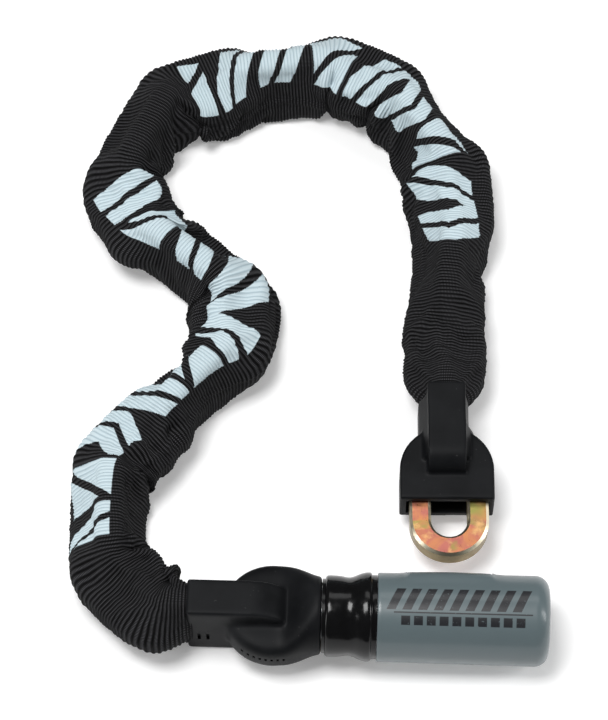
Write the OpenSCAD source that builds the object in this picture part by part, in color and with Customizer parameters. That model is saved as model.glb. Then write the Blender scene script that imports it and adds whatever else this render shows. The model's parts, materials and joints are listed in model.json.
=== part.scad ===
// Chain lock: a square-bar chain in a ribbed fabric sleeve, with a barrel lock at one end
// and a bare U-shaped link at the other. Millimetres, +Z up, standing on z = 0.
// +X runs along the barrel towards the key, +Y is the way the end link leaves the barrel.

/* [Chain] */
// Thickness of the square link bar
bar = 9; // [7:0.5:10]
// Width of the opening of a chain link
link_gap = 12.5; // [12:0.5:14]
// Inner length of a chain link
link_inner = 39.5; // [36:0.5:42]
// Chamfer along the four edges of a chain link's bar
bar_chamfer = 1.8; // [1.5:0.1:2.4]

/* [Sleeve] */
// Outer radius of the fabric sleeve round the chain
sleeve_r = 17.5; // [17:0.5:20]
// Thickness of the ribbed fabric
sleeve_wall = 1.2; // [0.8:0.1:1.4]
// Turn that each sleeve cut leaves room for, to each side
sleeve_swing = 15; // [5:1:15]
// Gap between neighbouring stretches at a cut
sleeve_cut = 0.4; // [0.3:0.1:1]

/* [Barrel] */
// Outer radius of the steel barrel
barrel_r = 17; // [16:0.25:17]
// Wall of the steel barrel
barrel_wall = 2.5; // [2:0.25:3]
// Outer radius of the moulded cover at its collar end
cover_r = 18.3; // [18:0.1:19]
// Outer radius of the moulded cover at its key end
cover_key_r = 18.7; // [18.4:0.1:19]
// Radius of the rounding at the key end
cover_round = 6; // [4:0.5:6]
// Half length of the slot that takes the end link
slot_half = 17.6; // [17:0.1:18]
// Half height of the slot
slot_rise = 4.8; // [4.7:0.1:5]
// Height of the slot above the barrel's axis
slot_offset = 8; // [7.5:0.1:8.5]

/* [Boots] */
// Width of both necks
neck_w = 16; // [14:0.5:18]
// Length of the lock boot's neck, from the flat link's eye
lock_neck = 35.4; // [30:0.2:38]
// Reach of the end boot's neck past its vertical link's near end
end_neck = 36.6; // [30:0.2:38]
// Radius of the lock boot's flat part
lock_boot_r = 20.6; // [18.5:0.1:21]
// Radius of the end boot's flat part
end_boot_r = 19.8; // [18.5:0.1:21]
// Thickness of both flat parts
boot_t = 17.5; // [15:0.5:19]

/* [End link] */
// Width of the end link's opening
end_gap = 15.2; // [14:0.2:16]
// Distance between the end link's arc centres
end_span = 21.6; // [20:0.2:24]
// Length of the end link that its boot leaves bare, from the lower arc centre
end_bare = 7.6; // [6:0.2:9]
// Chamfer along the four edges of the end link's bar
end_chamfer = 1.2; // [1:0.1:2]

/* [Cylinder] */
// Radius of the turning core
core_r = 8; // [7.5:0.25:8]
// Number of coded discs
disc_count = 7; // [5:1:7]
// Thickness of a coded disc
disc_t = 1; // [0.8:0.1:1.1]
// Thickness of the spacer after each disc
spacer_t = 0.6; // [0.4:0.1:0.6]
// Radius of the steel cross pins
pin_r = 3; // [2.5:0.1:3]

/* [Hidden] */
$fn = 48;
eps = 0.01;
play = 0.05; // running clearance on the radius
slack = 0.35; // moulding clearance round the links

// Part frame: the barrel's slot centre in X, the barrel's axis in Y
slot_x = 61.18;
axis_y = -132.49;
axis_z = cover_key_r;
chain_z = sleeve_r;
lock_drop = chain_z - axis_z; // the chain's plane against the barrel's axis

// Chain figures. Flat links turn about their arc centres, where the next, upright link's bar passes.
gap_r = link_gap / 2;
eye_r = gap_r + bar;
flat_pitch = link_inner - link_gap;
upright_pitch = link_inner + bar;
upright_reach = gap_r + bar / 2; // from a pivot to the upright link's arc centre
anchor_pitch = 15;
anchor_pivot = -72.4; // the anchor link's far arc centre, on the barrel's axis
first_pivot = anchor_pivot - upright_pitch;
lock_heading = 180;

// Directions of the 15 links between the boots, and of the end link, in degrees
headings = [137, 92, 50, 50, 96, 143, 112, 66, 21, 9, -25, -55, -86, -95, -90];
end_heading = -88;
link_count = len(headings);

function is_flat(i) = i % 2 == 1;
function pitch(i) = is_flat(i) ? flat_pitch : upright_pitch;
function heading(i) = i < 1 ? lock_heading : i > link_count ? end_heading : headings[i - 1];
function turn(i) = heading(i + 1) - heading(i); // at the far end of link i
function along(a) = [cos(a), sin(a)];
function pivot(i) = i == 0 ? [first_pivot, 0] : pivot(i - 1) + pitch(i) * along(heading(i));

// Barrel figures, along X from the slot's centre
shell_left = -46;
shell_step = -29.4;
shell_inside = -25;
shell_right = 38.3;
shell_r_in = barrel_r - barrel_wall;
collar_left = -52.3;
collar_right = -29.7;
cover_left = -29.6;
cover_right = 41;
plug_r = 12.4;
plug_left = -59.6;
plug_right = -27;
anchor_pin_x = anchor_pivot + anchor_pitch + 3;
bush_left = -24.5;
bush_right = -19;
shaft_r = 3.2;
housing_left = 18.8;
housing_right = 36.3;
core_left = 19.6;
core_bore = 6.6;
disc_r = core_bore - play;
disc_left = 22.4;
disc_pitch = disc_t + spacer_t;
core_front = 34.6;
keyway_w = 3.4;
keyway_h = 8.4;
plate_left = 36.5;
plate_right = 38.2;
dust_r = 12.3;
dust_left = 38.4;
dust_right = 40.4;
cross_pin_x = 31;
cross_pin_y = 11;
cross_pin_r = 1.5;
cross_pin_half = 11.2;
detent_r = 1.5;
detent_at = core_r + detent_r + play;
detent_x = 27;
spring_r = 1.1;
spring_wire = 0.3;
spring_turns = 5;

// ---- shared shapes ----

// Cross-section of the link bar, its inner face at x = 0
module bar_section(c) {
    h = bar / 2;
    polygon([[c, -h], [bar - c, -h], [bar, c - h], [bar, h - c],
             [bar - c, h], [c, h], [0, h - c], [0, c - h]]);
}

// One round end of a link about the origin, opening towards -X
module link_bend(gap, chamfer) {
    rotate([0, 0, -90]) rotate_extrude(angle = 180) translate([gap / 2, 0]) bar_section(chamfer);
}

// A closed link in the XY plane, its arc centres at x = 0 and x = span
module link(span, gap, chamfer = bar_chamfer) {
    translate([span, 0, 0]) link_bend(gap, chamfer);
    mirror([1, 0, 0]) link_bend(gap, chamfer);
    for (side = [-1, 1])
        scale([1, side, 1]) translate([0, gap / 2, 0]) rotate([90, 0, 90])
            linear_extrude(span) bar_section(chamfer);
}

module flat_link() link(flat_pitch, link_gap);

// An upright link from the pivot at the origin to the pivot at x = upright_pitch
module upright_link() {
    translate([upright_reach, 0, 0]) rotate([90, 0, 0])
        link(upright_pitch - 2 * upright_reach, link_gap);
}

// Moves a shape from a link's own axes, along X from its first pivot, to its place
module at_link(i) {
    p = pivot(i - 1);
    translate([slot_x + p[0], axis_y + p[1], chain_z]) rotate([0, 0, heading(i)]) children();
}

// Moves a shape from the barrel's axes to its place
module at_lock() translate([slot_x, axis_y, axis_z]) children();

// A ring along X, from x = left to x = right
module ring_x(left, right, r_out, r_in) {
    translate([left, 0, 0]) rotate([0, 90, 0]) difference() {
        cylinder(r = r_out, h = right - left);
        translate([0, 0, -1]) cylinder(r = r_in, h = right - left + 2);
    }
}

module rod_x(left, right, r) translate([left, 0, 0]) rotate([0, 90, 0]) cylinder(r = r, h = right - left);

// A profile of [x, radius] points turned about the X axis
module turned_x(profile) rotate([0, 90, 0]) rotate_extrude() polygon([for (p = profile) [p[1], p[0]]]);

// A flat outline with round ends, along X from x = 0 to x = span
module slot_outline(span, r) {
    circle(r);
    translate([span, 0]) circle(r);
    translate([0, -r]) square([span, 2 * r]);
}

// ---- sleeve ----

// Where a cut's edge crosses y, for a joint turned by t. The cut leans half way into the turn.
function cut_x(t, y) = (sleeve_cut / 2 + y * sin(t / 2)) / cos(t / 2);
// The furthest edge over the joint's swing
function edge_x(t, y) = max(cut_x(t - sleeve_swing, y), cut_x(t + sleeve_swing, y));

// Plan of a stretch of sleeve, cut at both ends so that it clears its neighbours
module sleeve_plan(length, turn_in, turn_out) {
    y = sleeve_r + 1;
    polygon([[edge_x(turn_in, -y), -y], [edge_x(turn_in, 0), 0], [edge_x(turn_in, y), y],
             [length - edge_x(turn_out, y), y], [length - edge_x(turn_out, 0), 0],
             [length - edge_x(turn_out, -y), -y]]);
}

module sleeve_tube(length) ring_x(-sleeve_r, length + sleeve_r, sleeve_r, sleeve_r - sleeve_wall);

module sleeve_piece(i) {
    color([0.1, 0.1, 0.11]) at_link(i) intersection() {
        sleeve_tube(pitch(i));
        translate([0, 0, -sleeve_r - 1]) linear_extrude(2 * sleeve_r + 2)
            sleeve_plan(pitch(i), turn(i - 1), turn(i));
    }
}

// From the lock boot's neck to the first pivot
module sleeve_lock_end() {
    y = sleeve_r + 1;
    out = neck_outside();
    color([0.1, 0.1, 0.11]) at_lock() translate([first_pivot, 0, lock_drop]) intersection() {
        ring_x(0, out, sleeve_r, sleeve_r - sleeve_wall);
        translate([0, 0, -y]) linear_extrude(2 * y)
            polygon([[edge_x(turn(0), -y), y], [edge_x(turn(0), 0), 0], [edge_x(turn(0), y), -y],
                     [out, -y], [out, y]]);
    }
}
function neck_outside() = upright_pitch - lock_neck - sleeve_cut;

// From the last pivot to the end boot's neck
module sleeve_link_end() {
    y = sleeve_r + 1;
    out = upright_pitch - end_neck - sleeve_cut;
    t = turn(link_count);
    color([0.1, 0.1, 0.11]) at_link(link_count + 1) intersection() {
        ring_x(0, out, sleeve_r, sleeve_r - sleeve_wall);
        translate([0, 0, -y]) linear_extrude(2 * y)
            polygon([[edge_x(t, -y), -y], [edge_x(t, 0), 0], [edge_x(t, y), y], [out, y], [out, -y]]);
    }
}

// ---- chain ----

module chain_link(i) {
    color([0.72, 0.6, 0.4]) at_link(i) if (is_flat(i)) flat_link(); else upright_link();
}

module anchor_link() {
    color([0.72, 0.6, 0.4]) at_lock() translate([anchor_pivot, 0, lock_drop])
        link(anchor_pitch, link_gap);
}

module lock_neck_link() {
    color([0.72, 0.6, 0.4]) at_lock() translate([first_pivot, 0, lock_drop]) upright_link();
}

module end_neck_link() color([0.72, 0.6, 0.4]) at_link(link_count + 1) upright_link();

module end_link() {
    color([0.85, 0.62, 0.35]) at_link(link_count + 1) translate([upright_pitch, 0, 0])
        link(end_span, end_gap, end_chamfer);
}

// ---- boots ----

// Side view of a neck: square at the sleeve, round over the upright link's near end
module neck_side(length) {
    circle(sleeve_r);
    translate([upright_reach - length, -sleeve_r]) square([length - upright_reach, 2 * sleeve_r]);
}

// Room for the upright link inside a neck
module neck_room(length) {
    r = eye_r + slack;
    circle(r);
    translate([-length, -r]) square([length, 2 * r]);
}

module neck_solid(length) {
    translate([-upright_reach, 0, 0]) rotate([90, 0, 0]) translate([0, 0, -neck_w / 2])
        linear_extrude(neck_w) neck_side(length);
}

// The upright link's room, and room at the neck's end for the flat link that turns there
module neck_hollow(length) {
    w = bar + 2 * slack;
    translate([-upright_reach, 0, 0]) rotate([90, 0, 0]) translate([0, 0, -w / 2])
        linear_extrude(w) neck_room(length);
    translate([-upright_pitch, 0, -w / 2]) cylinder(r = eye_r + slack, h = w);
}

module lock_boot() {
    reach = collar_left - 0.1 - anchor_pivot;
    tail = 10;
    color([0.13, 0.13, 0.14]) at_lock() translate([anchor_pivot, 0, lock_drop]) difference() {
        union() {
            hull() {
                translate([0, 0, -boot_t / 2]) cylinder(r = lock_boot_r, h = boot_t, $fn = 64);
                translate([reach - 1, 0, -lock_drop]) rotate([0, 90, 0]) cylinder(r = 15.9, h = 1, $fn = 64);
            }
            neck_solid(lock_neck);
        }
        translate([0, 0, -bar / 2 - slack]) linear_extrude(bar + 2 * slack)
            slot_outline(reach + 1, eye_r + slack);
        neck_hollow(lock_neck + tail);
        translate([0, 0, -lock_drop])
            rod_x(plug_left - slack - anchor_pivot, reach + 1, plug_r + slack);
    }
}

module end_boot() {
    mouth = end_span - end_bare;
    tail = 10;
    eye = end_gap / 2 + bar + slack;
    color([0.13, 0.13, 0.14]) at_link(link_count + 1) translate([upright_pitch, 0, 0]) difference() {
        union() {
            translate([0, 0, -boot_t / 2]) linear_extrude(boot_t) intersection() {
                slot_outline(mouth, end_boot_r);
                translate([-end_boot_r, -end_boot_r]) square([end_boot_r + mouth, 2 * end_boot_r]);
            }
            neck_solid(end_neck);
        }
        translate([0, 0, -bar / 2 - slack]) linear_extrude(bar + 2 * slack) slot_outline(mouth + 1, eye);
        neck_hollow(end_neck + tail);
    }
}

// ---- barrel ----

// The end link's slot, a block through the wall on the +Y side
module slot_cut(half, rise) {
    translate([-half, 0, slot_offset - rise]) cube([2 * half, 2 * barrel_r, 2 * rise]);
}

module cross_pin_holes(r) {
    for (side = [-1, 1])
        translate([cross_pin_x, side * cross_pin_y, -barrel_r]) cylinder(r = r, h = 2 * barrel_r);
}

module barrel_shell() {
    neck_r = plug_r + 1.7;
    color([0.55, 0.56, 0.58]) at_lock() difference() {
        turned_x([[shell_left, plug_r + play], [shell_left, neck_r], [shell_step, neck_r],
                  [shell_step, barrel_r], [shell_right, barrel_r], [shell_right, shell_r_in],
                  [shell_inside, shell_r_in], [shell_inside, plug_r + play]]);
        slot_cut(slot_half, slot_rise);
        cross_pin_holes(cross_pin_r + play);
    }
}

// Raised lip round the slot
module slot_lip() {
    lip_half = slot_half + 4.2;
    lip_rise = slot_rise + 3.4;
    intersection() {
        rotate([0, 90, 0]) translate([0, 0, -lip_half]) cylinder(r = cover_key_r + 0.9, h = 2 * lip_half);
        translate([0, 0, slot_offset]) rotate([-90, 0, 0]) linear_extrude(2 * barrel_r)
            translate([lip_rise - lip_half, 0]) slot_outline(2 * (lip_half - lip_rise), lip_rise);
    }
}

module barrel_cover() {
    in_r = barrel_r + play;
    lip_r = dust_r + play;
    arc_x = cover_right - cover_round;
    arc_r = cover_key_r - cover_round;
    color([0.42, 0.48, 0.5]) at_lock() difference() {
        union() {
            turned_x(concat(
                [[cover_left, in_r], [cover_left, cover_r], [arc_x, cover_key_r]],
                [for (a = [80:-10:0]) [arc_x + cover_round * cos(a), arc_r + cover_round * sin(a)]],
                [[cover_right, lip_r], [shell_right + play, lip_r], [shell_right + play, in_r]]));
            slot_lip();
        }
        slot_cut(slot_half, slot_rise);
        rod_x(cover_left - 1, shell_right + play, in_r);
    }
}

module collar() {
    inner = plug_r + 1.7 + play;
    wide = 15.15;
    color([0.08, 0.08, 0.09]) at_lock() turned_x([
        [collar_left, wide], [collar_left, 15.8], [-44, 15.9], [-41.5, 15.2], [-39.5, 15.4],
        [-35, 18.1], [-32.4, 18.3], [-31.8, 17.5], [collar_right, 17.5], [collar_right, inner],
        [shell_left - 1, inner], [shell_left - 1, wide]]);
}

module anchor_plug() {
    slot_end = anchor_pivot + anchor_pitch + eye_r + 0.25;
    h = bar / 2 + 0.2;
    color([0.5, 0.5, 0.52]) at_lock() difference() {
        rod_x(plug_left, plug_right, plug_r);
        translate([plug_left - 1, -plug_r - 1, lock_drop - h])
            cube([slot_end - plug_left + 1, 2 * plug_r + 2, 2 * h]);
        translate([anchor_pin_x, 0, -plug_r]) cylinder(r = pin_r + play, h = 2 * plug_r);
    }
}

module anchor_pin() {
    color([0.7, 0.7, 0.72]) at_lock() translate([anchor_pin_x, 0, -11]) cylinder(r = pin_r, h = 22);
}

module cam_bush() {
    color([0.75, 0.62, 0.35]) at_lock() union() {
        ring_x(bush_left, bush_left + 2.5, shell_r_in - play, shaft_r + play);
        ring_x(bush_left + 2.5, bush_right, 5.6, shaft_r + play);
    }
}

module core_housing() {
    color([0.6, 0.6, 0.62]) at_lock() difference() {
        ring_x(housing_left, housing_right, shell_r_in - play, core_r + play);
        cross_pin_holes(cross_pin_r + play);
        translate([detent_x, 0, -shell_r_in]) cylinder(r = detent_r + play, h = shell_r_in - core_r + 1);
    }
}

module cross_pins() {
    color([0.8, 0.8, 0.82]) at_lock() for (side = [-1, 1])
        translate([cross_pin_x, side * cross_pin_y, -cross_pin_half])
            cylinder(r = cross_pin_r, h = 2 * cross_pin_half);
}

module cylinder_core() {
    color([0.8, 0.66, 0.36]) at_lock() difference() {
        rod_x(core_left, housing_right, core_r);
        rod_x(core_left - 1, core_front, core_bore);
        translate([core_front - 1, -keyway_w / 2, -keyway_h / 2])
            cube([housing_right - core_front + 2, keyway_w, keyway_h]);
        translate([disc_left - 0.2, -1, core_bore - 1]) cube([core_front - disc_left, 2, 3]);
        for (side = [0, 180]) rotate([side, 0, 0])
            translate([detent_x, 0, -core_r - 1.2]) sphere(r = detent_r);
    }
}

// A disc with the keyway through it and a gate cut in its rim at an angle of its own
module code_disc(x, gate) {
    translate([x, 0, 0]) difference() {
        rod_x(0, disc_t, disc_r);
        translate([-1, -keyway_w / 2, -keyway_h / 2]) cube([disc_t + 2, keyway_w, keyway_h]);
        rotate([gate, 0, 0]) translate([-1, -1, disc_r - 1.3]) cube([disc_t + 2, 2, 3]);
    }
}

module code_discs() {
    color([0.85, 0.75, 0.45]) at_lock() for (i = [0 : disc_count - 1])
        code_disc(disc_left + i * disc_pitch, 18 * ((i * 3) % 5) - 36);
}

module disc_spacers() {
    color([0.7, 0.7, 0.7]) at_lock() for (i = [0 : disc_count - 2])
        ring_x(disc_left + disc_t + i * disc_pitch + play, disc_left + (i + 1) * disc_pitch - play,
               disc_r, 4.8);
}

module sidebar() {
    color([0.75, 0.75, 0.77]) at_lock()
        translate([disc_left, -0.9, core_bore + 0.05]) cube([core_front - disc_left - 0.4, 1.8, 1.25]);
}

module locking_cam() {
    lobe_half = 3.4;
    lobe_in = 5;
    lobe_out = 9;
    lobe_low = 3.5;
    lobe_high = 11;
    color([0.65, 0.65, 0.67]) at_lock() union() {
        rod_x(bush_left + 0.2, core_left - 0.1, shaft_r);
        rod_x(core_left - 0.1, disc_left - 0.2, core_bore);
        // The arm and its lobe, swung clear below the slot while the lock is open
        translate([-lobe_half, lobe_low, -lobe_out])
            cube([2 * lobe_half, lobe_high - lobe_low, lobe_out - lobe_in]);
        translate([-lobe_half, 0, -lobe_out]) cube([2 * lobe_half, lobe_low + eps, lobe_out - 1]);
    }
}

module detent_ball() {
    color([0.85, 0.85, 0.87]) at_lock() translate([detent_x, 0, -detent_at]) sphere(r = detent_r - play);
}

// A coil about Z made of rings of points joined in order
module coil(r, wire, turns, height) {
    steps = 12 * turns;
    sides = 6;
    points = [for (i = [0 : steps], j = [0 : sides - 1])
        let (a = 360 * i / 12, b = 360 * j / sides, d = r + wire * cos(b))
        [d * cos(a), d * sin(a), wire + (height - 2 * wire) * i / steps + wire * sin(b)]];
    faces = concat(
        [[for (j = [0 : sides - 1]) j]],
        [for (i = [0 : steps - 1], j = [0 : sides - 1])
            let (k = i * sides, n = (j + 1) % sides) [k + j, k + sides + j, k + sides + n, k + n]],
        [[for (j = [sides - 1 : -1 : 0]) steps * sides + j]]);
    polyhedron(points = points, faces = faces, convexity = 6);
}

module detent_spring() {
    top = detent_at + detent_r + play;
    color([0.8, 0.8, 0.8]) at_lock() translate([detent_x, 0, -shell_r_in + play])
        coil(spring_r, spring_wire, spring_turns, shell_r_in - top);
}

module front_plate() {
    color([0.5, 0.5, 0.52]) at_lock() ring_x(plate_left, plate_right, shell_r_in - play, 5);
}

module dust_cover() {
    color([0.1, 0.1, 0.11]) at_lock() difference() {
        rod_x(dust_left, dust_right, dust_r);
        translate([dust_left - 1, -keyway_h / 2 - 0.5, -keyway_w / 2 - 0.3])
            cube([4, keyway_h + 1, keyway_w + 0.6]);
        for (side = [-1, 1]) translate([dust_right - 0.8, 0, side * 8.4]) rotate([0, 90, 0])
            cylinder(r = 1.6, h = 2);
    }
}

function node_at(prefix, i) = str(prefix, i < 10 ? "0" : "", i);

barrel_shell();
barrel_cover();
collar();
anchor_plug();
anchor_pin();
core_housing();
cylinder_core();
code_discs();
disc_spacers();
sidebar();
locking_cam();
cam_bush();
detent_ball();
detent_spring();
front_plate();
dust_cover();
cross_pins();
lock_boot();
anchor_link();
lock_neck_link();
sleeve_lock_end();
for (i = [1 : link_count]) {
    chain_link(i);
    sleeve_piece(i);
}
sleeve_link_end();
end_neck_link();
end_link();
end_boot();
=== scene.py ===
"""Chain lock: a ribbed fabric sleeve over a square-bar chain, two rubber boots, a barrel
lock with a moulded cover, and a bare zinc-plated end link.

Runs in Blender 4.5 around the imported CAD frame. Metres, +Z up, the lock lies on z = 0.
Lengths named with _MM, and the sleeve's points until they become a mesh, are millimetres.
"""
import json
import math

import bmesh
import bpy
import numpy as np
from mathutils import Matrix, Vector

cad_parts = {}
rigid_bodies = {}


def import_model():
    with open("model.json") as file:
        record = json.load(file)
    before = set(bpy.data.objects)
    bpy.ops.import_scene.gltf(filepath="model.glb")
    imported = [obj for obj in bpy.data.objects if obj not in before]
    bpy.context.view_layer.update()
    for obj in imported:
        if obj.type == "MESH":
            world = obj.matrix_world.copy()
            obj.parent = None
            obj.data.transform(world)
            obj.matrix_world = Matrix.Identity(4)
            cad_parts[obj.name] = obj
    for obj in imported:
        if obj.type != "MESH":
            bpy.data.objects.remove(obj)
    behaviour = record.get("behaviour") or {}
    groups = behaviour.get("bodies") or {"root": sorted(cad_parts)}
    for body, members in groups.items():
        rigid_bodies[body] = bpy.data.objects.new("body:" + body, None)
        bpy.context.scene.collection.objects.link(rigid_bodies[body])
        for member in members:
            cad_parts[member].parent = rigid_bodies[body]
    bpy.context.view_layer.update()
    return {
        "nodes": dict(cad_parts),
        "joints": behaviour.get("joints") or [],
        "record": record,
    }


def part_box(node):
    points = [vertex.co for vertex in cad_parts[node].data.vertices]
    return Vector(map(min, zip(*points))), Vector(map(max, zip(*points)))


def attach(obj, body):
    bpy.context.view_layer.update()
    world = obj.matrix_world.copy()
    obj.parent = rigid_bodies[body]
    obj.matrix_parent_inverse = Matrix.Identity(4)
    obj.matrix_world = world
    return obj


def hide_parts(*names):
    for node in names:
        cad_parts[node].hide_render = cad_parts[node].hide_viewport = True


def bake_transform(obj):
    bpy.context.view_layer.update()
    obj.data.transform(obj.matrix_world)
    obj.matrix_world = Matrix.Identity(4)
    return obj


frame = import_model()


def mm(value):
    return value / 1000


# ---- the frame's own places ----

CHAIN = [j for j in frame["joints"] if j["name"].startswith("chain_turn_")]
PIVOTS = np.array([j["pos_m"] for j in CHAIN])
CHAIN_BODIES = [CHAIN[0]["parent"]] + [j["child"] for j in CHAIN]
CORE = next(j for j in frame["joints"] if j["name"] == "core_turn")
AXIS_Y, AXIS_Z = CORE["pos_m"][1], CORE["pos_m"][2]
CHAIN_Z = PIVOTS[0][2]
COVER_START_MM = -29.6  # the cover's edge at the collar, from the slot's middle
SLOT_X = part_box("barrel_cover")[0].x - mm(COVER_START_MM)


# ---- camera, first ----

def add_camera():
    """A long lens, well above the lock and almost square to the barrel."""
    data = bpy.data.cameras.new("camera")
    data.sensor_width = 36
    data.lens = 163.2
    camera = bpy.data.objects.new("camera", data)
    bpy.context.collection.objects.link(camera)
    look_at = Vector((-0.0019, -0.0135, 0.0187))
    elevation, yaw, distance = math.radians(62), math.radians(1.64), 1.4
    away = Vector((math.sin(yaw) * math.cos(elevation), -math.cos(yaw) * math.cos(elevation),
                   math.sin(elevation)))
    camera.location = look_at + distance * away
    camera.rotation_euler = (-away).to_track_quat("-Z", "Y").to_euler()
    data.clip_end = 20
    bpy.context.scene.camera = camera


add_camera()


# ---- node helpers ----

class Nodes:
    """Short calls for building a material's node tree."""

    def __init__(self, name):
        self.material = bpy.data.materials.new(name)
        self.material.use_nodes = True
        self.tree = self.material.node_tree
        self.tree.nodes.clear()
        self.out = self.tree.nodes.new("ShaderNodeOutputMaterial")

    def put(self, socket, value):
        if isinstance(value, bpy.types.NodeSocket):
            self.tree.links.new(value, socket)
        else:
            socket.default_value = value

    def new(self, kind, inputs=(), **settings):
        node = self.tree.nodes.new(kind)
        for key, value in settings.items():
            setattr(node, key, value)
        for key, value in dict(inputs).items():
            self.put(node.inputs[key], value)
        return node

    def math(self, operation, *values):
        node = self.new("ShaderNodeMath", operation=operation)
        for socket, value in zip(node.inputs, values):
            self.put(socket, value)
        return node.outputs[0]

    def both(self, first, *others):
        for other in others:
            first = self.math("MINIMUM", first, other)
        return first

    def either(self, first, *others):
        for other in others:
            first = self.math("MAXIMUM", first, other)
        return first

    def within(self, value, low, high, soft):
        """1 where low < value < high, with an edge of width soft."""
        rise = self.ramp(value, low - soft / 2, low + soft / 2)
        fall = self.ramp(value, high + soft / 2, high - soft / 2)
        return self.math("MULTIPLY", rise, fall)

    def ramp(self, value, start, end, low=0.0, high=1.0):
        node = self.new("ShaderNodeMapRange", {"Value": value, "From Min": start, "From Max": end,
                                               "To Min": low, "To Max": high}, clamp=True)
        return node.outputs[0]

    def mix(self, share, first, second):
        node = self.new("ShaderNodeMix", data_type="RGBA")
        self.put(node.inputs["Factor"], share)
        self.put(node.inputs[6], first)
        self.put(node.inputs[7], second)
        return node.outputs[2]

    def noise(self, vector, scale, detail=3.0, rough=0.55, distort=0.0):
        node = self.new("ShaderNodeTexNoise", {"Vector": vector, "Scale": scale, "Detail": detail,
                                               "Roughness": rough, "Distortion": distort})
        return node.outputs["Fac"]

    def scaled(self, vector, x, y, z):
        node = self.new("ShaderNodeVectorMath", {0: vector, 1: (x, y, z)}, operation="MULTIPLY")
        return node.outputs[0]

    def split(self, vector):
        return self.new("ShaderNodeSeparateXYZ", {0: vector}).outputs

    def bump(self, height, distance, strength=1.0, normal=None):
        node = self.new("ShaderNodeBump", {"Height": height, "Distance": distance,
                                           "Strength": strength})
        if normal is not None:
            self.put(node.inputs["Normal"], normal)
        return node.outputs[0]

    def principled(self, **inputs):
        shader = self.new("ShaderNodeBsdfPrincipled")
        for key, value in inputs.items():
            self.put(shader.inputs[key.replace("_", " ")], value)
        self.tree.links.new(shader.outputs[0], self.out.inputs[0])
        return self.material


def object_coords(n):
    return n.new("ShaderNodeTexCoord").outputs["Object"]


# ---- materials ----

PRINT_HALF_MM = 15.6
PRINT_CELL_MM = 25.0
THREAD_MM = 0.62
COVER_R_MM = 18.5  # the cover's middle radius, for measuring round it


def printed_shapes(n, along, across, cell, pick):
    """Leaning bars, chevrons and split wedges: one plain motif for each cell of the print."""
    in_cells = n.math("SUBTRACT", n.math("DIVIDE", along, PRINT_CELL_MM), cell)
    x = n.math("MULTIPLY", in_cells, PRINT_CELL_MM)
    height = n.math("ABSOLUTE", across)
    soft = 0.25

    def stripes(lean_x):
        return n.either(n.within(lean_x, 2.6, 10.9, soft), n.within(lean_x, 14.2, 22.2, soft))

    right = stripes(n.math("ADD", x, n.math("MULTIPLY", across, 0.34)))
    left = stripes(n.math("SUBTRACT", x, n.math("MULTIPLY", across, 0.42)))
    chevron = stripes(n.math("ADD", n.math("SUBTRACT", x, 3.6), n.math("MULTIPLY", height, 0.58)))
    lean = n.math("SUBTRACT", x, n.math("MULTIPLY", across, 0.75))
    wedges = n.both(n.within(x, 2.6, 22.2, soft),
                    n.math("SUBTRACT", 1.0, n.within(lean, 10.4, 14.8, soft)))
    motif = right
    for edge, shape in ((0.25, chevron), (0.5, left), (0.75, wedges)):
        chosen = n.math("GREATER_THAN", pick, edge)
        choice = n.new("ShaderNodeMix", {"Factor": chosen, 2: motif, 3: shape}, data_type="FLOAT")
        motif = choice.outputs[0]
    return n.both(motif, n.within(across, -PRINT_HALF_MM, PRINT_HALF_MM, soft))


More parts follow.
